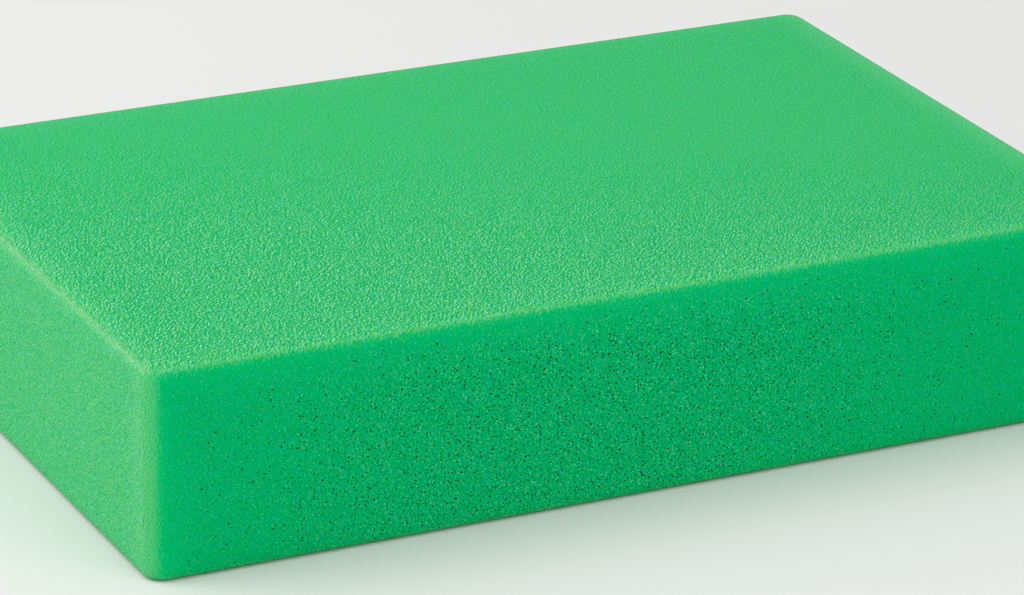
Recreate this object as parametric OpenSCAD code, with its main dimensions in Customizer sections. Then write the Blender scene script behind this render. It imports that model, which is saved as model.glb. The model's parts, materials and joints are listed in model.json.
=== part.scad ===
// Filter sponge: one block of fine open-cell foam, cut square, with softened edges and corners.
// Origin at the centre of the bottom face: +X along the length, +Y across the width, +Z up.

/* [Block] */
// Length of the block, from the left end to the right end
block_length = 195; // [80:1:400]
// Width of the block, from the front face to the back face
block_width = 125; // [50:1:250]
// Height of the block, from the bottom face to the top face
block_height = 40; // [15:1:100]

/* [Edges] */
// Rounding radius of the four edges round the top face
top_edge_radius = 2.5; // [0.5:0.1:4]
// Rounding radius of the four edges round the bottom face
bottom_edge_radius = 2; // [0.5:0.1:4]
// Rounding radius of the four upright corners, seen from above
corner_radius = 4; // [2.5:0.5:20]

/* [Colours] */
// Colour of the foam
foam_colour = "#1fb46c";

/* [Hidden] */
$fn = 64;
// A rounded edge rolls into the corner that it ends in, so it is never larger than that corner.
top_r = min(top_edge_radius, corner_radius);
bottom_r = min(bottom_edge_radius, corner_radius);
// From the middle of the block to the axes of the upright corners
corner_x = block_length / 2 - corner_radius;
corner_y = block_width / 2 - corner_radius;

// The outline that a cut across the block shows: a rectangle that stands on the X axis,
// span wide, with its upper and lower corners rounded.
module section(span) {
    half = span / 2;
    translate([-half, bottom_r])
        square([span, block_height - top_r - bottom_r]);
    translate([-half + top_r, block_height / 2])
        square([span - 2 * top_r, block_height / 2]);
    translate([-half + bottom_r, 0])
        square([span - 2 * bottom_r, block_height / 2]);
    for (side = [-1, 1]) {
        translate([side * (half - top_r), block_height - top_r])
            circle(r = top_r);
        translate([side * (half - bottom_r), bottom_r])
            circle(r = bottom_r);
    }
}

// The outline of span by block_height drawn out along X, centred on the origin
module slab_along_x(span, run) {
    rotate([90, 0, 90])
        translate([0, 0, -run / 2])
            linear_extrude(run) section(span);
}

// One upright corner: the same section turned about its own middle
module corner_post() {
    rotate_extrude()
        intersection() {
            section(2 * corner_radius);
            square([corner_radius, block_height]);
        }
}

// The block: its full width between the corners, its full length between the corners,
// and a turned post that closes each of the four corners
module foam_block() {
    color(foam_colour) {
        slab_along_x(block_width, 2 * corner_x);
        rotate([0, 0, 90]) slab_along_x(block_length, 2 * corner_y);
        for (x = [-corner_x, corner_x], y = [-corner_y, corner_y])
            translate([x, y, 0]) corner_post();
    }
}

foam_block();
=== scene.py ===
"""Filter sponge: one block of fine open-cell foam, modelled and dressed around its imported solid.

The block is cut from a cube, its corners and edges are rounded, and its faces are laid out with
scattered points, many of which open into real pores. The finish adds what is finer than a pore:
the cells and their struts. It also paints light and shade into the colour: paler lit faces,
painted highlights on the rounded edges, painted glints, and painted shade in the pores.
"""

import json
import logging
import math
from collections.abc import Callable
from dataclasses import dataclass, field
from enum import Enum

import bmesh
import bpy
import numpy as np
from mathutils import Matrix, Vector

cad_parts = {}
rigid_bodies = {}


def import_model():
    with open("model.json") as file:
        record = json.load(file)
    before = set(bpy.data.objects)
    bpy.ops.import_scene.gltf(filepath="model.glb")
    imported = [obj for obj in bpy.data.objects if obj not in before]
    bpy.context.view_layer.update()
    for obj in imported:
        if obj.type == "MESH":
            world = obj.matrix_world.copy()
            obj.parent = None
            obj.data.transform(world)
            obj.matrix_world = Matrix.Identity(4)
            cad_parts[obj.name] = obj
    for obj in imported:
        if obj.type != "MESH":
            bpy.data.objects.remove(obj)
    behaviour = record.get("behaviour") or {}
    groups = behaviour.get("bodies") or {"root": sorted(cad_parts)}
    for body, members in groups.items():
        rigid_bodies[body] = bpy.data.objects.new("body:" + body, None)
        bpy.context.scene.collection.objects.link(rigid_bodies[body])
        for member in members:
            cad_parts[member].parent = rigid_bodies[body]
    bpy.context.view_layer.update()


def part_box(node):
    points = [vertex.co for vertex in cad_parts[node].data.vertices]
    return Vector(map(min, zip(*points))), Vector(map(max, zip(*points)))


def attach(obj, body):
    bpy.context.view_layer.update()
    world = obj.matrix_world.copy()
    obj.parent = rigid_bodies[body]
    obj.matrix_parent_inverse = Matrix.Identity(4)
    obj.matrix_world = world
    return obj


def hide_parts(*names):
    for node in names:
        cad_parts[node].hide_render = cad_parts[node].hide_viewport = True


log = logging.getLogger("filter_sponge")

MM = 0.001
FULL_TURN = 2 * math.pi
FOAM_NODE = "foam_block"
BODY = "root"
PORE_ATTRIBUTE = "pore"

# Across Y the cells are open around this place along X, and more and more closed up to the reach,
# beyond which only the least share of them is open.
OPEN_MIDDLE = -12.0 * MM
OPEN_REACH = 84.0 * MM
OPEN_FADE = 66.0 * MM
OPEN_LEAST = 0.08

# Halfway round a ridge the surface looks half one way and half the other. This brings the product
# of the two halves up to one.
RIDGE_SCALE = 4.0

Colour = tuple[float, float, float]
Triple = tuple[float, float, float]
Span = tuple[float, float]
Edge = bmesh.types.BMEdge
Wire = bpy.types.NodeSocket

PALE_GREY: Colour = (0.80, 0.80, 0.79)


class Socket(Enum):
    """Sockets of the surface shader that the finishes set."""

    BASE_COLOR = "Base Color"
    ROUGHNESS = "Roughness"
    IOR = "IOR"
    NORMAL = "Normal"


def rgba(colour: Colour) -> tuple[float, float, float, float]:
    """Returns the colour with full opacity."""
    return (*colour, 1.0)


def deselect_all() -> None:
    """Clears the selection, so that an operator acts only on what is picked next."""
    for item in bpy.context.view_layer.objects:
        item.select_set(False)


# ---------------------------------------------------------------------------------------------
# Finishes
# ---------------------------------------------------------------------------------------------


class NodeSheet:
    """A short way to lay out the nodes of one material."""

    def __init__(self, name: str) -> None:
        """Starts a material that has only its output node.

        Args:
            name: The name of the material.
        """
        self.material = bpy.data.materials.new(name)
        self.material.use_nodes = True
        self.tree = self.material.node_tree
        self.tree.nodes.clear()
        self.output = self.tree.nodes.new("ShaderNodeOutputMaterial")

    def add(self, kind: str, **settings: object) -> bpy.types.Node:
        """Adds a node.

        Args:
            kind: The node's type name, without its ShaderNode prefix.
            **settings: Properties of the node.

        Returns:
            The new node.
        """
        node = self.tree.nodes.new("ShaderNode" + kind)
        for name, value in settings.items():
            setattr(node, name, value)
        return node

    def feed(self, socket: Wire, value: object) -> None:
        """Links a socket to another one, or sets it to a constant.

        Args:
            socket: The input to feed.
            value: An output socket, a number or a colour.
        """
        if isinstance(value, Wire):
            self.tree.links.new(value, socket)
        else:
            socket.default_value = value

    def math(self, operation: str, *values: object, clamp: bool = False) -> Wire:
        """Adds a Math node.

        Args:
            operation: The node's operation.
            *values: Its inputs, each a socket or a number.
            clamp: Whether the result is held between 0 and 1.

        Returns:
            The node's result.
        """
        node = self.add("Math", operation=operation, use_clamp=clamp)
        for socket, value in zip(node.inputs, values):
            self.feed(socket, value)
        return node.outputs[0]

    def hold(self, value: object) -> Wire:
        """Holds a value between 0 and 1."""
        return self.math("MULTIPLY", value, 1.0, clamp=True)

    def ramp(self, value: object, low: float, high: float, start: float = 0.0, end: float = 1.0) -> Wire:
        """Adds a smooth ramp from start to end, while a value goes from low to high.

        Args:
            value: The value that drives the ramp.
            low: Where the ramp starts.
            high: Where it ends.
            start: The result at and below low.
            end: The result at and above high.

        Returns:
            The ramp's result.
        """
        node = self.add("MapRange", interpolation_type="SMOOTHSTEP")
        for name, number in (("From Min", low), ("From Max", high), ("To Min", start), ("To Max", end)):
            node.inputs[name].default_value = number
        self.feed(node.inputs["Value"], value)
        return node.outputs["Result"]

    def blend(self, share: object, first: object, second: object, mode: str = "MIX") -> Wire:
        """Mixes two colours.

        Args:
            share: How much of the second colour there is, from 0 to 1.
            first: The first colour.
            second: The second colour.
            mode: The way they mix, in the node's own words.

        Returns:
            The mixed colour.
        """
        node = self.add("Mix", data_type="RGBA", blend_type=mode)
        self.feed(node.inputs["Factor"], share)
        for socket, value in zip([s for s in node.inputs if s.type == "RGBA"], (first, second)):
            self.feed(socket, value if isinstance(value, Wire) else rgba(value))
        return next(s for s in node.outputs if s.type == "RGBA")

    def split(self, vector: Wire) -> list[Wire]:
        """Splits a vector into its three parts."""
        node = self.add("SeparateXYZ")
        self.feed(node.inputs[0], vector)
        return list(node.outputs)

    def combine(self, operation: str, first: Wire, second: object, output: str = "Vector") -> Wire:
        """Adds a Vector Math node.

        Args:
            operation: The node's operation.
            first: The first vector.
            second: The second vector.
            output: The output to read.

        Returns:
            The chosen output.
        """
        node = self.add("VectorMath", operation=operation)
        self.feed(node.inputs[0], first)
        self.feed(node.inputs[1], second)
        return node.outputs[output]

    def rotate(self, kind: str, vector: Wire, socket: str, amount: object) -> Wire:
        """Turns a vector about the middle of the block.

        Args:
            kind: What it turns about, in the node's own words.
            vector: The vector.
            socket: The input that holds the angle or the angles.
            amount: The angle or the angles.

        Returns:
            The turned vector.
        """
        node = self.add("VectorRotate", rotation_type=kind)
        self.feed(node.inputs["Vector"], vector)
        self.feed(node.inputs[socket], amount)
        return node.outputs[0]

    def noise(self, place: Wire, size: float) -> Wire:
        """Adds a noise pattern of one layer.

        Args:
            place: The coordinates.
            size: The size of one lump, in metres.

        Returns:
            A value from 0 to 1.
        """
        node = self.add("TexNoise")
        self.feed(node.inputs["Vector"], place)
        node.inputs["Scale"].default_value = 1.0 / size
        node.inputs["Detail"].default_value = 0.0
        return node.outputs["Fac"]

    def cells(self, place: Wire, size: float, feature: str, output: str = "Distance") -> Wire:
        """Adds a pattern of cells.

        Args:
            place: The coordinates.
            size: The size of one cell, in metres.
            feature: What is measured: F1 or DISTANCE_TO_EDGE.
            output: The output to read.

        Returns:
            The chosen output, where distances are shares of the cell's size.
        """
        node = self.add("TexVoronoi", feature=feature)
        self.feed(node.inputs["Vector"], place)
        node.inputs["Scale"].default_value = 1.0 / size
        return node.outputs[output]

    def close(self, inputs: dict[Socket, object]) -> bpy.types.Material:
        """Adds the surface shader and joins it to the output.

        Args:
            inputs: What feeds the shader's sockets.

        Returns:
            The finished material.
        """
        shader = self.add("BsdfPrincipled")
        for socket, value in inputs.items():
            self.feed(shader.inputs[socket.value], value)
        self.feed(self.output.inputs["Surface"], shader.outputs[0])
        return self.material


@dataclass(frozen=True)
class Spot:
    """Where a point of the surface lies on the block, as wires of the material's sheet.

    Attributes:
        drawn: The coordinates, drawn out along the cells.
        facing: How much the surface looks along X, along Y and along Z, one in all.
        gaps: The distance to the nearest plane across X, across Y, and to the top.
        edge_gap: The distance to the nearest edge.
        opened: How open the cells are at this place along X.
        smooth: How much the top's nap has faded towards the back.
        rough: What is left of the nap there.
    """

    drawn: Wire
    facing: list[Wire]
    gaps: list[Wire]
    edge_gap: Wire
    opened: Wire
    smooth: Wire
    rough: Wire


@dataclass(frozen=True)
class FoamFinish:
    """The look of the cut foam, for what is finer than a modelled pore and for its colour.

    One level drives the colour: below zero the foam's green gets darker with painted shade, above
    zero it turns pale with painted light. Each face has its own painted light level, paler on the
    ends and the flat faces and darker on the sides across Y, for how the light falls on them.
    Light that comes through close to an edge is painted in too, and the grain, the painted glints
    and the pinholes are added to that.

    Three values in a row belong to the ends, the sides and the flat faces, or to the ridges
    between flat faces and ends, between flat faces and sides, and between ends and sides. Two
    are where a ramp starts and ends, and a mix holds a factor and what is added to it.
    """

    low: Vector
    high: Vector

    # Colours. The greens of the faces along X and Z and of the faces across Y are set apart to go
    # with each face's painted light. The pale colour is painted light, which the lit faces, ridges
    # and edges turn to; shade is painted shade; the two pore colours paint the shade inside the
    # pores; glint paints the light that a strut catches; warm and cool tint the tone at random.
    along: Colour = (0.0, 0.452, 0.128)
    across: Colour = (0.0, 0.575, 0.180)
    pale: Colour = (0.355, 0.81, 0.41)
    shade: Colour = (0.0, 0.0, 0.005)
    pore_shade_across: Colour = (0.0, 0.010, 0.005)
    pore_shade_along: Colour = (0.0, 0.20, 0.06)
    glint: Colour = (0.36, 0.89, 0.58)
    warm: Colour = (1.0, 1.0, 0.72)
    cool: Colour = (1.0, 1.0, 1.28)
    # How much painted shade a level below zero gives, and how much more of it on the sides.
    darkening: float = -0.4
    side_darkening: float = -0.4

    # Painted light: each face's level, paler on the ends and the flat faces and darker on the sides,
    # as the light falls on them; and the painted highlight, shade and warm tint of the rounded ridges.
    painted_face_light: Triple = (0.245, -0.19, 0.12)
    ridge_highlights: Triple = (0.22, 0.18, 0.09)
    ridge_shades: Triple = (0.28, 0.05, 0.02)
    ridge_tints: Triple = (0.4, 1.0, 1.0)
    ridge_gain: float = 1.8
    ridge_tint: Colour = (1.0, 1.0, 0.90)

    # Painted light: the light that comes through near an edge, painted into the colour.
    edge_glows: Triple = (0.0, 0.105, 0.04)
    upright_glow: float = 0.115
    glow_reach: float = 11.5 * MM
    end_glow: float = 0.09
    end_reach: float = 9.0 * MM
    rim_glow: float = 0.06
    rim_reach: float = 4.5 * MM

    # The nap, which is the strength of the grain.
    naps: Triple = (0.29, 0.30, 0.62)
    rim_nap: float = 0.5
    rim_nap_span: Span = (0.0, 3.0 * MM)
    side_nap_span: Span = (1.0 * MM, 9.0 * MM)
    closed_nap: float = 0.6
    far_nap: float = 0.18
    far_way: Triple = (0.449, 0.893, 0.0)
    far_span: Span = (-55.0 * MM, 25.0 * MM)

    # Grain, struts, granules and tints. The lean is in degrees, the tilt in radians.
    lean: float = 41.0
    draw: float = 2.3
    grain_size: float = 0.32 * MM
    grain_step: float = 0.27 * MM
    grain_tilt: Triple = (0.62, 0.41, 0.23)
    grain_gain: float = 2.3
    cell_size: float = 0.36 * MM
    strut_width: float = 0.3
    strut_mix: Span = (0.35, -0.23)
    granule_size: float = 0.42 * MM
    granule_span: Span = (0.05, 0.55)
    granule_mix: Span = (0.9, -0.25)
    tint_size: float = 0.38 * MM
    tint_span: Span = (0.3, 0.7)

    # Pinholes, modelled pores and painted glints. Spans without a unit are shares of a cell.
    pinhole_size: float = 0.54 * MM
    pinhole_reach: float = 0.30
    pinhole_core: float = 0.55
    pinhole_share: float = 0.55
    pinhole_clear: Span = (1.0 * MM, 16.0 * MM)
    pore_span: Span = (0.02, 0.25)
    glint_size: float = 0.66 * MM
    glint_span: Span = (0.06, 0.22)
    glint_share: float = 0.55
    glint_least: float = 0.3
    glint_clear: Span = (0.5 * MM, 7.0 * MM)

    # The surface itself.
    relief: float = 0.022 * MM
    grain_relief: float = 0.5
    roughness: float = 0.45
    refraction: float = 1.07

    def find_gaps(self, sheet: NodeSheet, parts: list[Wire]) -> list[Wire]:
        """Works out how far a point lies inside the block's sides and below its top.

        Args:
            sheet: The material's sheet.
            parts: The three coordinates on the block.

        Returns:
            The distance to the nearest plane across X, across Y, and to the top.
        """
        middle, half = (self.low + self.high) / 2, (self.high - self.low) / 2
        gaps = []
        for axis in range(2):
            offset = sheet.math("SUBTRACT", parts[axis], middle[axis])
            gaps.append(sheet.math("SUBTRACT", half[axis], sheet.math("ABSOLUTE", offset)))
        gaps.append(sheet.math("SUBTRACT", self.high[2], parts[2]))
        return gaps

    def find_edge_gap(self, sheet: NodeSheet, gaps: list[Wire]) -> Wire:
        """Works out the distance to the nearest edge.

        On a face one of the three distances is nothing, and the middle one leads to the edge.

        Args:
            sheet: The material's sheet.
            gaps: The distances to the block's planes.

        Returns:
            The distance.
        """
        smallest, largest, total = (
            sheet.math(operation, gaps[0], sheet.math(operation, gaps[1], gaps[2]))
            for operation in ("MINIMUM", "MAXIMUM", "ADD")
        )
        return sheet.math("SUBTRACT", total, sheet.math("ADD", smallest, largest))

    def find_spot(self, sheet: NodeSheet) -> Spot:
        """Works out where a point of the surface lies on the block.

        Args:
            sheet: The material's sheet.

        Returns:
            All that the finish needs to know of the point.
        """
        coordinates = sheet.add("TexCoord")
        place, normal = coordinates.outputs["Object"], coordinates.outputs["Normal"]
        leaning = sheet.rotate("Z_AXIS", place, "Angle", math.radians(self.lean))
        drawn = sheet.combine("MULTIPLY", leaning, (1.0, 1.0 / self.draw, 1.0))
        facing = sheet.split(sheet.combine("MULTIPLY", normal, normal))
        parts = sheet.split(place)
        gaps = self.find_gaps(sheet, parts)
        from_middle = sheet.math("ABSOLUTE", sheet.math("SUBTRACT", parts[0], OPEN_MIDDLE))
        opened = sheet.ramp(from_middle, OPEN_REACH - OPEN_FADE, OPEN_REACH, 1.0, OPEN_LEAST)
        away = sheet.combine("DOT_PRODUCT", place, self.far_way, "Value")
        smooth = sheet.math("MULTIPLY", sheet.ramp(away, *self.far_span), facing[2])
        rough = sheet.math("MULTIPLY_ADD", smooth, self.far_nap - 1.0, 1.0)
        return Spot(drawn, facing, gaps, self.find_edge_gap(sheet, gaps), opened, smooth, rough)

    def paint_ridge_light(self, sheet: NodeSheet, spot: Spot) -> tuple[Wire, Wire, Wire]:
        """Paints light on the rounded ridges, where the surface looks two ways at once: a highlight,
        some shade and a warm tint.

        Args:
            sheet: The material's sheet.
            spot: Where the point lies.

        Returns:
            The painted highlight that they add, their painted shade, and how much their highlight is
            tinted.
        """
        on_end, on_side, on_flat = spot.facing
        pairs = ((on_flat, on_end), (on_side, on_flat), (on_end, on_side))
        strengths = zip(pairs, self.ridge_highlights, self.ridge_shades, self.ridge_tints)
        level, shaded, tinted = 0.0, 0.0, 0.0
        for (first, second), strength, shade, tint in strengths:
            both = sheet.math("MULTIPLY", sheet.math("MULTIPLY", first, second), RIDGE_SCALE)
            narrow = sheet.math("MULTIPLY", both, both)
            ridge = sheet.math("MULTIPLY", narrow, second)
            level = sheet.math("MULTIPLY_ADD", ridge, self.ridge_gain * strength, level)
            shaded = sheet.math("MULTIPLY_ADD", narrow, shade, shaded)
            tinted = sheet.math("MULTIPLY_ADD", both, tint, tinted)
        return level, shaded, tinted

    def add_glow(self, sheet: NodeSheet, spot: Spot, level: Wire) -> Wire:
        """Adds each face's painted light level and the painted light that comes through near the edges.

        Args:
            sheet: The material's sheet.
            spot: Where the point lies.
            level: The level so far.

        Returns:
            The new level.
        """
        near_edge = sheet.ramp(spot.edge_gap, 0.0, self.glow_reach, 1.0, 0.0)
        for facing, face_light, edge_glow in zip(spot.facing, self.painted_face_light, self.edge_glows):
            glow = sheet.math("MULTIPLY_ADD", near_edge, edge_glow, face_light)
            level = sheet.math("MULTIPLY_ADD", facing, glow, level)
        on_end, _, on_flat = spot.facing
        upright, rim, end = (
            sheet.math("MULTIPLY", sheet.ramp(gap, 0.0, reach, strength, 0.0), facing)
            for gap, reach, strength, facing in (
                (spot.gaps[1], self.glow_reach, self.upright_glow, on_end),
                (spot.edge_gap, self.rim_reach, self.rim_glow, on_flat),
                (spot.gaps[0], self.end_reach, self.end_glow, on_flat),
            )
        )
        level = sheet.math("ADD", level, sheet.math("ADD", upright, rim))
        return sheet.math("ADD", level, end)

    def make_grain(self, sheet: NodeSheet, spot: Spot) -> Wire:
        """Makes the fine grain: the difference of two noises, one a small step beside the other.
        In the colour it paints the shading of the fine relief, as if lit from one side; it also
        raises the bump.

        Args:
            sheet: The material's sheet.
            spot: Where the point lies.

        Returns:
            A value from about -1 to 1.
        """
        values = []
        for step in (0.0, self.grain_step):
            beside = sheet.combine("ADD", spot.drawn, (step, 0.0, 0.0))
            tilted = sheet.rotate("EULER_XYZ", beside, "Rotation", self.grain_tilt)
            values.append(sheet.noise(tilted, self.grain_size))
        return sheet.math("MULTIPLY", sheet.math("SUBTRACT", *values), self.grain_gain)

    def mix_texture(self, sheet: NodeSheet, spot: Spot, strut: Wire, grain: Wire) -> Wire:
        """Mixes the grain, the struts of the cells and the granules between them. The texture is
        partly the foam's own uneven tone and partly painted light: paler where struts and granules
        catch the light, with painted shade between them.

        Args:
            sheet: The material's sheet.
            spot: Where the point lies.
            strut: How much of a strut there is.
            grain: The grain.

        Returns:
            The texture, which is about zero on average.
        """
        granule = sheet.cells(spot.drawn, self.granule_size, "F1")
        granule = sheet.ramp(granule, *self.granule_span, 1.0, 0.0)
        mixed = sheet.math("ADD", grain, sheet.math("MULTIPLY_ADD", strut, *self.strut_mix))
        return sheet.math("ADD", mixed, sheet.math("MULTIPLY_ADD", granule, *self.granule_mix))

    def find_nap(self, sheet: NodeSheet, spot: Spot) -> Wire:
        """Works out how strong the texture is, which is gentler towards the edges.

        Args:
            sheet: The material's sheet.
            spot: Where the point lies.

        Returns:
            The strength.
        """
        on_end, on_side, on_flat = spot.facing
        end_nap, side_nap, flat_nap = self.naps
        flat = sheet.math("MULTIPLY", sheet.math("MULTIPLY", on_flat, spot.rough), flat_nap)
        other = sheet.math("MULTIPLY_ADD", on_end, end_nap, flat)
        near_rim = sheet.ramp(spot.edge_gap, *self.rim_nap_span, self.rim_nap, 1.0)
        other = sheet.math("MULTIPLY", other, near_rim)
        side = sheet.ramp(spot.opened, 0.0, 1.0, self.closed_nap, 1.0)
        side = sheet.math("MULTIPLY", on_side, side)
        near_rim = sheet.ramp(spot.edge_gap, *self.side_nap_span, self.rim_nap, 1.0)
        side = sheet.math("MULTIPLY", side, near_rim)
        return sheet.math("MULTIPLY_ADD", side, side_nap, other)

    def colour_body(self, sheet: NodeSheet, spot: Spot, level: Wire, shaded: Wire) -> Wire:
        """Turns the level into the foam's colour, with painted light above zero and painted shade below
        it.

        Args:
            sheet: The material's sheet.
            spot: Where the point lies.
            level: The level.
            shaded: How much painted shade the ridges get.

        Returns:
            The colour.
        """
        on_side = spot.facing[1]
        body = sheet.blend(on_side, self.along, self.across)
        fall = sheet.math("MULTIPLY_ADD", on_side, self.side_darkening, self.darkening)
        darker = sheet.math("MULTIPLY", level, fall, clamp=True)
        body = sheet.blend(sheet.math("ADD", shaded, darker), body, self.shade)
        return sheet.blend(sheet.hold(level), body, self.pale)

    def add_painted_glints(self, sheet: NodeSheet, spot: Spot, colour: Wire) -> Wire:
        """Adds painted glints: pale flecks where a strut catches the light.

        Args:
            sheet: The material's sheet.
            spot: Where the point lies.
            colour: The colour so far.

        Returns:
            The new colour.
        """
        glint_spot = sheet.cells(spot.drawn, self.glint_size, "F1")
        glint_spot = sheet.ramp(glint_spot, *self.glint_span, self.glint_share, 0.0)
        glint_spot = sheet.math("MULTIPLY", glint_spot, sheet.math("SUBTRACT", 1.0, spot.smooth))
        inner = sheet.math("MULTIPLY", spot.opened, sheet.ramp(spot.edge_gap, *self.glint_clear))
        share = sheet.ramp(inner, 0.0, 1.0, self.glint_least, 1.0)
        return sheet.blend(sheet.math("MULTIPLY", glint_spot, share), colour, self.glint)

    def scatter_pinholes(self, sheet: NodeSheet, spot: Spot) -> Wire:
        """Scatters the pores that are too small to model.

        Args:
            sheet: The material's sheet.
            spot: Where the point lies.

        Returns:
            A share: 1 inside a pore, 0 beside it.
        """
        inner = sheet.ramp(spot.edge_gap, *self.pinhole_clear)
        full = sheet.math("MULTIPLY", spot.opened, inner)
        full = sheet.math("MULTIPLY", full, sheet.math("SUBTRACT", 1.0, spot.facing[2]))
        pick = sheet.add("SeparateColor")
        sheet.feed(pick.inputs[0], sheet.cells(spot.drawn, self.pinhole_size, "F1", "Color"))
        share = sheet.math("MULTIPLY", full, self.pinhole_share)
        chosen = sheet.math("LESS_THAN", pick.outputs[0], share)
        reach = self.pinhole_reach
        hole = sheet.cells(spot.drawn, self.pinhole_size, "F1")
        hole = sheet.ramp(hole, self.pinhole_core * reach, reach, 1.0, 0.0)
        return sheet.math("MULTIPLY", hole, chosen)

    def paint_pore_shade(self, sheet: NodeSheet, spot: Spot, colour: Wire, pinhole: Wire) -> Wire:
        """Paints shade into the pinholes and the depths of the modelled pores.

        Args:
            sheet: The material's sheet.
            spot: Where the point lies.
            colour: The colour so far.
            pinhole: Where the pinholes are.

        Returns:
            The new colour.
        """
        depth = sheet.add("Attribute", attribute_name=PORE_ATTRIBUTE).outputs["Fac"]
        pore_shade = sheet.blend(spot.facing[1], self.pore_shade_along, self.pore_shade_across)
        colour = sheet.blend(pinhole, colour, pore_shade)
        return sheet.blend(sheet.ramp(depth, *self.pore_span), colour, pore_shade)

    def add_tints(self, sheet: NodeSheet, spot: Spot, colour: Wire, tinted: Wire) -> Wire:
        """Lets the colour go warmer and cooler from cell to cell, and warmer on the ridges as part of
        their painted highlight.

        Args:
            sheet: The material's sheet.
            spot: Where the point lies.
            colour: The colour so far.
            tinted: How much the ridges are tinted.

        Returns:
            The new colour.
        """
        share = sheet.ramp(sheet.noise(spot.drawn, self.tint_size), *self.tint_span)
        tint = sheet.blend(share, self.warm, self.cool)
        colour = sheet.blend(1.0, colour, tint, "MULTIPLY")
        return sheet.blend(sheet.hold(tinted), colour, self.ridge_tint, "MULTIPLY")

    def raise_struts(self, sheet: NodeSheet, spot: Spot, height: Wire) -> Wire:
        """Turns the height of the finest forms into a bump.

        Args:
            sheet: The material's sheet.
            spot: Where the point lies.
            height: The height, where a strut is 1.

        Returns:
            The bent normal.
        """
        bump = sheet.add("Bump")
        for name, value in (("Strength", spot.rough), ("Distance", self.relief), ("Height", height)):
            sheet.feed(bump.inputs[name], value)
        return bump.outputs["Normal"]

    def make(self) -> bpy.types.Material:
        """Builds the foam's material.

        Returns:
            The material.
        """
        sheet = NodeSheet("foam")
        spot = self.find_spot(sheet)
        strut = sheet.cells(spot.drawn, self.cell_size, "DISTANCE_TO_EDGE")
        strut = sheet.ramp(strut, 0.0, self.strut_width, 1.0, 0.0)
        grain = self.make_grain(sheet, spot)
        pinhole = self.scatter_pinholes(sheet, spot)

        # The level carries painted light: the ridges' highlights and shade, each face's lit or shaded
        # level, the light through the edges, and the texture's painted relief shading.
        level, shaded, tinted = self.paint_ridge_light(sheet, spot)
        level = self.add_glow(sheet, spot, level)
        texture = self.mix_texture(sheet, spot, strut, grain)
        level = sheet.math("MULTIPLY_ADD", texture, self.find_nap(sheet, spot), level)

        # Above zero the colour turns to the pale painted light, below zero to painted shade; then come
        # the painted glints and the painted shade in the pores.
        colour = self.colour_body(sheet, spot, level, shaded)
        colour = self.add_painted_glints(sheet, spot, colour)
        colour = self.paint_pore_shade(sheet, spot, colour, pinhole)
        colour = self.add_tints(sheet, spot, colour, tinted)

        height = sheet.math("ADD", strut, sheet.math("MULTIPLY", grain, self.grain_relief))
        height = sheet.math("SUBTRACT", height, pinhole)
        return sheet.close({
            Socket.BASE_COLOR: colour,
            Socket.NORMAL: self.raise_struts(sheet, spot, height),
            Socket.ROUGHNESS: self.roughness,
            Socket.IOR: self.refraction,
        })


@dataclass(frozen=True)
class PaleFinish:
    """The plain pale finish of the floor."""

    colour: Colour = PALE_GREY
    roughness: float = 0.8

    def make(self) -> bpy.types.Material:
        """Builds the floor's material."""
        sheet = NodeSheet("pale_floor")
        return sheet.close({
            Socket.BASE_COLOR: rgba(self.colour),
            Socket.ROUGHNESS: self.roughness,
        })


# ---------------------------------------------------------------------------------------------
# The foam block
# ---------------------------------------------------------------------------------------------


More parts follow.
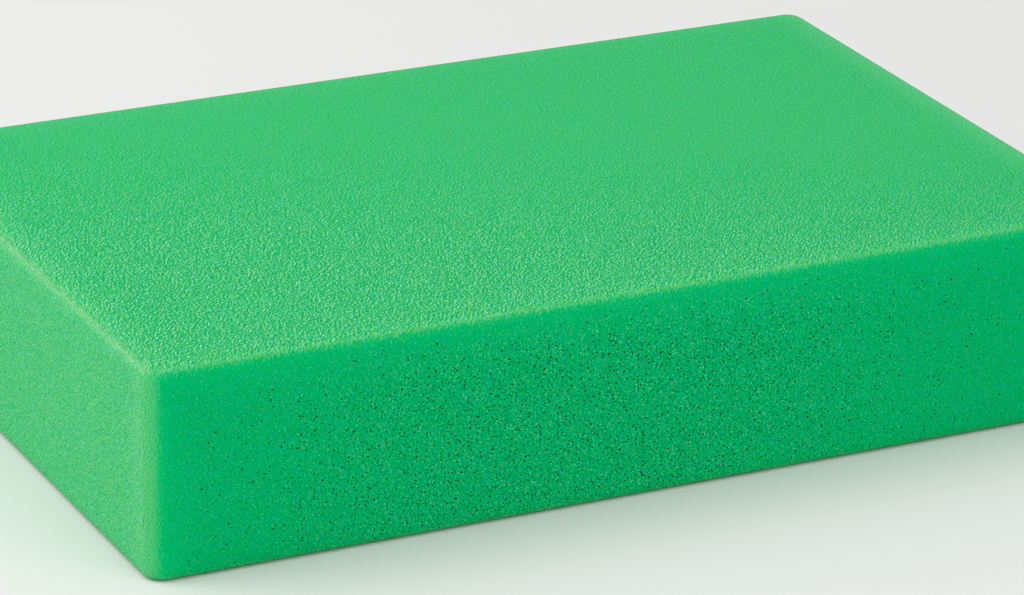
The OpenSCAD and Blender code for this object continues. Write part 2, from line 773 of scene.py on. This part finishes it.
@dataclass
class FoamBlock:
    """The block of foam: its cut form, its rounded edges and its open pores.

    Sizes are in metres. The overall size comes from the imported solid.
    """

    low: Vector
    high: Vector

    # The cut form.
    corner_radius: float = 4.0 * MM
    top_edge_radius: float = 2.5 * MM
    bottom_edge_radius: float = 2.0 * MM
    corner_steps: int = 6
    top_edge_steps: int = 5
    bottom_edge_steps: int = 4
    touching: float = 0.001 * MM
    slice_gap: float = 0.01 * MM
    skin: float = 0.5 * MM
    smooth_angle: float = 35.0

    # The scattered points: how far apart they lie, and how far they move, as a share and in waves.
    pore_pitch: Vector = field(default_factory=lambda: Vector((1.5, 3.0, 1.2)) * MM)
    scatter: float = 0.36
    drift: float = 0.9 * MM
    drift_waves: Span = (17.0 * MM, 29.0 * MM)
    drift_margin: float = 6.0 * MM

    # The sag of the soft faces, in lumps along, across and at a slant.
    sag: float = 0.12 * MM
    sag_middle: float = 0.5
    sag_swing: float = 0.3
    sag_margin: float = 8.0 * MM
    lump_lengths: Triple = (41.0 * MM, 33.0 * MM, 23.0 * MM)
    lump_starts: Span = (1.3, 0.4)
    slant_share: float = 0.6

    # The pores: the share of points that open, and their size.
    side_share: float = 1.0
    end_share: float = 0.12
    flat_share: float = 0.015
    side_clear: float = 15.0 * MM
    other_clear: float = 6.0 * MM
    edge_least: float = 0.05
    clump_waves: tuple[Span, ...] = ((13.0 * MM, 0.3), (7.7 * MM, 1.9), (21.0 * MM, 2.6))
    clump_share: float = 0.12
    clump_growth: float = 0.08
    pore_radius: float = 0.17 * MM
    pore_spread: float = 0.28
    smallest_pore: float = 0.10 * MM
    largest_pore: float = 0.28 * MM
    pore_room: float = 0.4
    pore_depths: Span = (1.7, 2.8)
    pore_lean: float = 0.25
    rim_reaches: Span = (0.85, 1.15)
    seed: int = 7

    def flat_limits(self) -> tuple[Vector, Vector]:
        """Returns the corners of the box inside which every face is flat."""
        inset_low = Vector((self.corner_radius, self.corner_radius, self.bottom_edge_radius))
        inset_high = Vector((self.corner_radius, self.corner_radius, self.top_edge_radius))
        return self.low + inset_low, self.high - inset_high

    # -- the cut form ---------------------------------------------------------------------

    def round_edges(
        self, block: bpy.types.Object, pick: Callable[[Edge], bool], radius: float, steps: int
    ) -> None:
        """Rounds the edges that a test picks.

        Args:
            block: The block.
            pick: Says whether an edge is rounded.
            radius: The radius of the rounding.
            steps: The number of strips that it is made of.
        """
        bpy.ops.object.mode_set(mode="EDIT")
        bpy.ops.mesh.select_mode(type="EDGE")
        bpy.ops.mesh.select_all(action="DESELECT")
        mesh = bmesh.from_edit_mesh(block.data)
        for edge in mesh.edges:
            edge.select_set(pick(edge))
        bmesh.update_edit_mesh(block.data)
        bpy.ops.mesh.bevel(offset=radius, offset_type="OFFSET", segments=steps, affect="EDGES")
        bpy.ops.object.mode_set(mode="OBJECT")

    def cut_form(self) -> bpy.types.Object:
        """Cuts the block and rounds its upright corners, then its top and bottom edges.

        Returns:
            The block.
        """
        deselect_all()
        middle, size = (self.low + self.high) / 2, self.high - self.low
        bpy.ops.mesh.primitive_cube_add(size=1.0, location=middle, scale=size)
        block = bpy.context.object
        block.name = "foam_block_open_cell"
        bpy.ops.object.transform_apply(location=True, rotation=False, scale=True)

        def upright(edge: Edge) -> bool:
            """Picks an edge that climbs."""
            first, second = edge.verts
            return abs(first.co.z - second.co.z) > self.touching

        def around(level: float) -> Callable[[Edge], bool]:
            """Returns a test that picks the edges at one level."""
            return lambda edge: all(abs(vert.co.z - level) < self.touching for vert in edge.verts)

        self.round_edges(block, upright, self.corner_radius, self.corner_steps)
        self.round_edges(block, around(self.high.z), self.top_edge_radius, self.top_edge_steps)
        self.round_edges(block, around(self.low.z), self.bottom_edge_radius, self.bottom_edge_steps)
        return block

    def lay_out(self, block: bpy.types.Object) -> None:
        """Slices the flat faces across all three axes, which gives the points for the pores.

        Args:
            block: The block.
        """
        flat_low, flat_high = self.flat_limits()
        bpy.ops.object.mode_set(mode="EDIT")
        for axis in range(3):
            reach = flat_high[axis] - flat_low[axis]
            count = round(reach / self.pore_pitch[axis])
            normal = [0.0, 0.0, 0.0]
            normal[axis] = 1.0
            for step in range(count + 1):
                point = [0.0, 0.0, 0.0]
                point[axis] = flat_low[axis] + reach * step / count
                bpy.ops.mesh.select_all(action="SELECT")
                bpy.ops.mesh.bisect(plane_co=point, plane_no=normal, threshold=self.slice_gap)
        bpy.ops.object.mode_set(mode="OBJECT")

    # -- scattered points -----------------------------------------------------------------

    def open_points(self, places: np.ndarray) -> np.ndarray:
        """Finds the points that lie inside a flat face, clear of its rounded edges.

        Args:
            places: The places of all points.

        Returns:
            For each point the axis that its face looks along, or -1.
        """
        flat_low, flat_high = (np.array(corner) for corner in self.flat_limits())
        inside = (places > flat_low + self.slice_gap) & (places < flat_high - self.slice_gap)
        faces = np.full(len(places), -1)
        for axis in range(3):
            others = [other for other in range(3) if other != axis]
            below = places[:, axis] < self.low[axis] + self.skin
            above = places[:, axis] > self.high[axis] - self.skin
            faces[(below | above) & inside[:, others].all(axis=1)] = axis
        return faces

    def scatter_points(self, block: bpy.types.Object, random: np.random.Generator) -> None:
        """Moves the points of the faces about, each within its own face.

        Args:
            block: The block.
            random: The source of random numbers.
        """
        places = read_places(block.data)
        faces = self.open_points(places)
        pitch = np.array(self.pore_pitch)
        shifts = random.uniform(-self.scatter, self.scatter, places.shape) * pitch
        first, second = (FULL_TURN / length for length in self.drift_waves)
        waves = np.sin(places[:, [1, 2, 0]] * first + places[:, [2, 0, 1]] * second)
        flat_low, flat_high = (np.array(corner) for corner in self.flat_limits())
        margin = np.minimum(places - flat_low, flat_high - places) / self.drift_margin
        shifts += waves * np.clip(margin, 0, 1) * self.drift
        for axis in range(3):
            shifts[(faces < 0) | (faces == axis), axis] = 0.0
        write_places(block.data, places + shifts)
        split_faces()

    def sag_faces(self, block: bpy.types.Object) -> None:
        """Lets the soft faces sink a little, unevenly, as cut foam does. The base stays flat.

        Args:
            block: The block.
        """
        places = read_places(block.data)
        faces = self.open_points(places)
        flat_low, flat_high = (np.array(corner) for corner in self.flat_limits())
        along, across, slant = self.lump_lengths
        along_start, across_start = self.lump_starts
        for axis in range(3):
            first, second = (places[:, other] for other in range(3) if other != axis)
            lumps = np.sin(FULL_TURN * first / along + along_start)
            lumps = lumps * np.sin(FULL_TURN * second / across + across_start)
            lumps += self.slant_share * np.sin(FULL_TURN * (first + second) / slant + axis)
            sink = self.sag * (self.sag_middle + self.sag_swing * lumps)
            inner = np.minimum(places - flat_low, flat_high - places)
            inner[:, axis] = np.inf
            sink = sink * np.clip(inner.min(axis=1) / self.sag_margin, 0, 1)
            side = np.sign(places[:, axis] - (self.low[axis] + self.high[axis]) / 2)
            on_face = faces == axis
            if axis == 2:
                on_face &= side > 0
            places[on_face, axis] -= (side * sink)[on_face]
        write_places(block.data, places)

    # -- pores ----------------------------------------------------------------------------

    def open_shares(self, places: np.ndarray, faces: np.ndarray, clumps: np.ndarray) -> np.ndarray:
        """Works out how likely a pore is at each point.

        Args:
            places: The places of all points.
            faces: For each point the axis that its face looks along, or -1.
            clumps: How dense the foam's clumps of pores are there.

        Returns:
            The likelihood, where 1 and above is certain.
        """
        share = np.choose(np.clip(faces, 0, 2), (self.end_share, self.side_share, self.flat_share))
        share = share * (1 + self.clump_share * clumps)
        gaps = np.minimum(places - np.array(self.low), np.array(self.high) - places)
        gaps[:, 2] = self.high[2] - places[:, 2]
        edge_gap = np.sort(gaps, axis=1)[:, 1]
        on_side = faces == 1
        from_middle = np.abs(places[:, 0] - OPEN_MIDDLE)
        opened = np.clip((OPEN_REACH - from_middle) / OPEN_FADE, OPEN_LEAST, 1)
        share *= np.where(on_side, opened, 1.0)
        clear = np.where(on_side, self.side_clear, self.other_clear)
        share *= np.clip(edge_gap / clear, self.edge_least, 1)
        return share

    def pore_radii(
        self, places: np.ndarray, edges: np.ndarray, random: np.random.Generator
    ) -> np.ndarray:
        """Chooses which points open into a pore, and how wide.

        Args:
            places: The places of all points.
            edges: The pairs of points that an edge joins.
            random: The source of random numbers.

        Returns:
            The radius of each point's pore, or nothing where it stays closed.
        """
        faces = self.open_points(places)
        clumps = np.zeros(len(places))
        for reach, start in self.clump_waves:
            turn = places * (FULL_TURN / reach)
            swirl = np.sin(turn[:, 0] + start + np.sin(turn[:, 1]))
            clumps += swirl * np.cos(turn[:, 1] - turn[:, 2] + start)
        radii = self.pore_radius * np.exp(self.pore_spread * random.standard_normal(len(places)))
        radii = radii * (1 + self.clump_growth * clumps)
        radii = np.clip(radii, self.smallest_pore, self.largest_pore)
        lengths = np.linalg.norm(places[edges[:, 0]] - places[edges[:, 1]], axis=1)
        shortest = np.full(len(places), np.inf)
        for end in (0, 1):
            np.minimum.at(shortest, edges[:, end], lengths)
        radii = np.minimum(radii, self.pore_room * shortest)
        share = self.open_shares(places, faces, clumps)
        radii[(faces < 0) | (random.random(len(places)) > share)] = 0.0
        return radii

    def open_pores(self, block: bpy.types.Object, random: np.random.Generator) -> None:
        """Opens pores at the scattered points.

        Each open point becomes a ring of rim points, one on every edge that met there, and a
        point below it, so a pore is a small pit with real walls.

        Args:
            block: The block, all in triangles.
            random: The source of random numbers.
        """
        mesh = block.data
        places = read_places(mesh)
        normals = read_rows(mesh.vertices, "normal", 3, np.float32).astype(float)
        edges = read_rows(mesh.edges, "vertices", 2, np.int32)
        triangles = read_rows(mesh.polygons, "vertices", 3, np.int32)

        radii = self.pore_radii(places, edges, random)
        is_open = radii > 0
        depths = radii * random.uniform(*self.pore_depths, len(places))
        lean = random.normal(0.0, self.pore_lean, places.shape) * radii[:, None]
        floors = places - normals * depths[:, None] + lean * is_open[:, None]
        points = [tuple(point) for point in np.where(is_open[:, None], floors, places)]
        rims: dict[tuple[int, int], int] = {}
        for first, second in np.vstack([edges, edges[:, ::-1]]):
            if is_open[first]:
                way = places[second] - places[first]
                reach = radii[first] * random.uniform(*self.rim_reaches) / np.linalg.norm(way)
                rims[(first, second)] = len(points)
                points.append(tuple(places[first] + way * reach))
        depth_marks = np.zeros(len(points), np.float32)
        depth_marks[: len(places)] = is_open

        fresh = bpy.data.meshes.new(block.name)
        fresh.from_pydata(points, [], pit_faces(triangles, is_open, rims))
        fresh.validate()
        marks = fresh.attributes.new(PORE_ATTRIBUTE, "FLOAT", "POINT")
        marks.data.foreach_set("value", depth_marks)
        block.data = fresh
        bpy.data.meshes.remove(mesh)
        log.info("%s: %d open pores", block.name, int(is_open.sum()))

    def build(self) -> bpy.types.Object:
        """Models the whole block.

        Returns:
            The finished block, at its place.
        """
        random = np.random.default_rng(self.seed)
        block = self.cut_form()
        self.lay_out(block)
        self.scatter_points(block, random)
        self.sag_faces(block)
        self.open_pores(block, random)
        deselect_all()
        block.select_set(True)
        bpy.context.view_layer.objects.active = block
        split_faces()
        bpy.ops.object.shade_smooth_by_angle(angle=math.radians(self.smooth_angle))
        block.data.materials.append(FoamFinish(self.low, self.high).make())
        return block


def split_faces() -> None:
    """Splits the faces of the active object into triangles."""
    bpy.ops.object.mode_set(mode="EDIT")
    bpy.ops.mesh.select_all(action="SELECT")
    bpy.ops.mesh.quads_convert_to_tris(quad_method="BEAUTY", ngon_method="BEAUTY")
    bpy.ops.object.mode_set(mode="OBJECT")


def pit_faces(
    triangles: np.ndarray, is_open: np.ndarray, rims: dict[tuple[int, int], int]
) -> list[list[int]]:
    """Cuts the open corners off every triangle and adds the walls of the pits.

    Args:
        triangles: The three points of each triangle.
        is_open: Which points open into a pore.
        rims: The rim point beside the first of two points, on the edge to the second.

    Returns:
        The faces of the mesh with its pits.
    """
    faces: list[list[int]] = []
    for triangle in triangles.tolist():
        outline: list[int] = []
        for turn in range(3):
            here, after, before = triangle[turn], triangle[(turn + 1) % 3], triangle[turn - 1]
            if is_open[here]:
                outline += [rims[(here, before)], rims[(here, after)]]
                faces.append([rims[(here, after)], rims[(here, before)], here])
            else:
                outline.append(here)
        faces.append(outline)
    return faces


def read_rows(
    items: bpy.types.bpy_prop_collection, name: str, width: int, kind: type
) -> np.ndarray:
    """Reads one property of all of a mesh's points, edges or faces.

    Args:
        items: The points, edges or faces.
        name: The property.
        width: How many numbers it has.
        kind: The kind of number that the mesh holds.

    Returns:
        One row of numbers for each item.
    """
    rows = np.empty(len(items) * width, kind)
    items.foreach_get(name, rows)
    return rows.reshape(-1, width)


def read_places(mesh: bpy.types.Mesh) -> np.ndarray:
    """Returns the places of a mesh's points, one row of three numbers for each."""
    return read_rows(mesh.vertices, "co", 3, np.float32).astype(float)


def write_places(mesh: bpy.types.Mesh, places: np.ndarray) -> None:
    """Moves a mesh's points to new places."""
    mesh.vertices.foreach_set("co", places.astype(np.float32).ravel())
    mesh.update()


# ---------------------------------------------------------------------------------------------
# The stage
# ---------------------------------------------------------------------------------------------


def outward(azimuth: float, elevation: float) -> Vector:
    """Works out a way from the block towards a place round it.

    Args:
        azimuth: The angle round the block, in degrees from its front.
        elevation: The angle above the floor, in degrees.

    Returns:
        The way, of length one.
    """
    turn, climb = math.radians(azimuth), math.radians(elevation)
    return Vector((
        math.sin(turn) * math.cos(climb),
        -math.cos(turn) * math.cos(climb),
        math.sin(climb),
    ))


@dataclass(frozen=True)
class Viewpoint:
    """Where the camera stands, and its lens. Angles are in degrees, the lens in millimetres."""

    azimuth: float = -26.672
    elevation: float = 21.803
    roll: float = 1.18
    target: Triple = (-3.294 * MM, -11.809 * MM, 20.0 * MM)
    distance: float = 987.33 * MM
    lens: float = 186.646
    sensor: float = 36.0
    nearest: float = 0.05

    def place(self) -> None:
        """Makes the camera and gives it to the scene."""
        azimuth, roll = math.radians(self.azimuth), math.radians(self.roll)
        back = outward(self.azimuth, self.elevation)
        level_right = Vector((math.cos(azimuth), math.sin(azimuth), 0.0))
        level_up = back.cross(level_right)
        right = level_right * math.cos(roll) + level_up * math.sin(roll)
        up = level_up * math.cos(roll) - level_right * math.sin(roll)
        data = bpy.data.cameras.new("camera")
        data.lens = self.lens
        data.sensor_width = self.sensor
        data.clip_start = self.nearest
        camera = bpy.data.objects.new("camera", data)
        bpy.context.scene.collection.objects.link(camera)
        turn = Matrix((right, up, back)).transposed().to_4x4()
        stand = Vector(self.target) + back * self.distance
        camera.matrix_world = Matrix.Translation(stand) @ turn
        bpy.context.scene.camera = camera


@dataclass(frozen=True)
class Softbox:
    """One square area lamp that points at the block. Angles are in degrees."""

    name: str
    azimuth: float
    elevation: float
    distance: float
    width: float
    power: float

    def place(self, target: Vector) -> None:
        """Hangs the lamp round a target.

        Args:
            target: The point that it shines at.
        """
        way = outward(self.azimuth, self.elevation)
        data = bpy.data.lights.new(self.name, "AREA")
        data.size = self.width
        data.energy = self.power
        lamp = bpy.data.objects.new(self.name, data)
        bpy.context.scene.collection.objects.link(lamp)
        lamp.location = target + way * self.distance
        lamp.rotation_euler = way.to_track_quat("Z", "Y").to_euler()


@dataclass(frozen=True)
class Studio:
    """The pale floor, the soft light and the pale room."""

    floor_width: float = 8.0
    room_light: float = 0.68
    room_colour: Colour = (1.0, 1.0, 1.0)
    backdrop: Colour = PALE_GREY
    lamps: tuple[Softbox, ...] = (
        Softbox("softbox_left", -100.0, 48.0, 1.1, 0.9, 6.5),
        Softbox("softbox_front", 20.0, 35.0, 1.3, 0.9, 2.2),
    )

    def lay_floor(self) -> None:
        """Lays the floor under the block."""
        deselect_all()
        bpy.ops.mesh.primitive_plane_add(size=self.floor_width, location=(0.0, 0.0, 0.0))
        floor = bpy.context.object
        floor.name = "floor"
        floor.data.materials.append(PaleFinish().make())

    def light_room(self) -> None:
        """Gives the room an even light, and a pale backdrop where it is seen."""
        world = bpy.data.worlds.new("room")
        bpy.context.scene.world = world
        world.use_nodes = True
        nodes, links = world.node_tree.nodes, world.node_tree.links
        nodes.clear()
        path = nodes.new("ShaderNodeLightPath")
        lit, seen = nodes.new("ShaderNodeBackground"), nodes.new("ShaderNodeBackground")
        lit.inputs["Color"].default_value = rgba(self.room_colour)
        lit.inputs["Strength"].default_value = self.room_light
        seen.inputs["Color"].default_value = rgba(self.backdrop)
        shown = path.outputs["Is Camera Ray"]
        for other in ("Is Glossy Ray", "Is Transmission Ray"):
            either = nodes.new("ShaderNodeMath")
            either.operation = "MAXIMUM"
            links.new(shown, either.inputs[0])
            links.new(path.outputs[other], either.inputs[1])
            shown = either.outputs[0]
        choice = nodes.new("ShaderNodeMixShader")
        for socket, source in zip(choice.inputs, (shown, lit.outputs[0], seen.outputs[0])):
            links.new(source, socket)
        output = nodes.new("ShaderNodeOutputWorld")
        links.new(choice.outputs[0], output.inputs["Surface"])

    def set_up(self, target: Vector) -> None:
        """Sets up the whole stage.

        Args:
            target: The middle of the block.
        """
        self.lay_floor()
        self.light_room()
        for lamp in self.lamps:
            lamp.place(target)
        bpy.context.scene.view_settings.view_transform = "Standard"


def main() -> None:
    """Builds the scene in order."""
    logging.basicConfig(level=logging.INFO, format="%(name)s: %(message)s")
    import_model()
    Viewpoint().place()
    low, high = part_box(FOAM_NODE)
    Studio().set_up((low + high) / 2)

    block = FoamBlock(low, high).build()
    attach(block, BODY)
    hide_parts(FOAM_NODE)
    log.info("%s: %d points, %d faces", block.name, len(block.data.vertices), len(block.data.polygons))


if __name__ == "__main__":
    main()
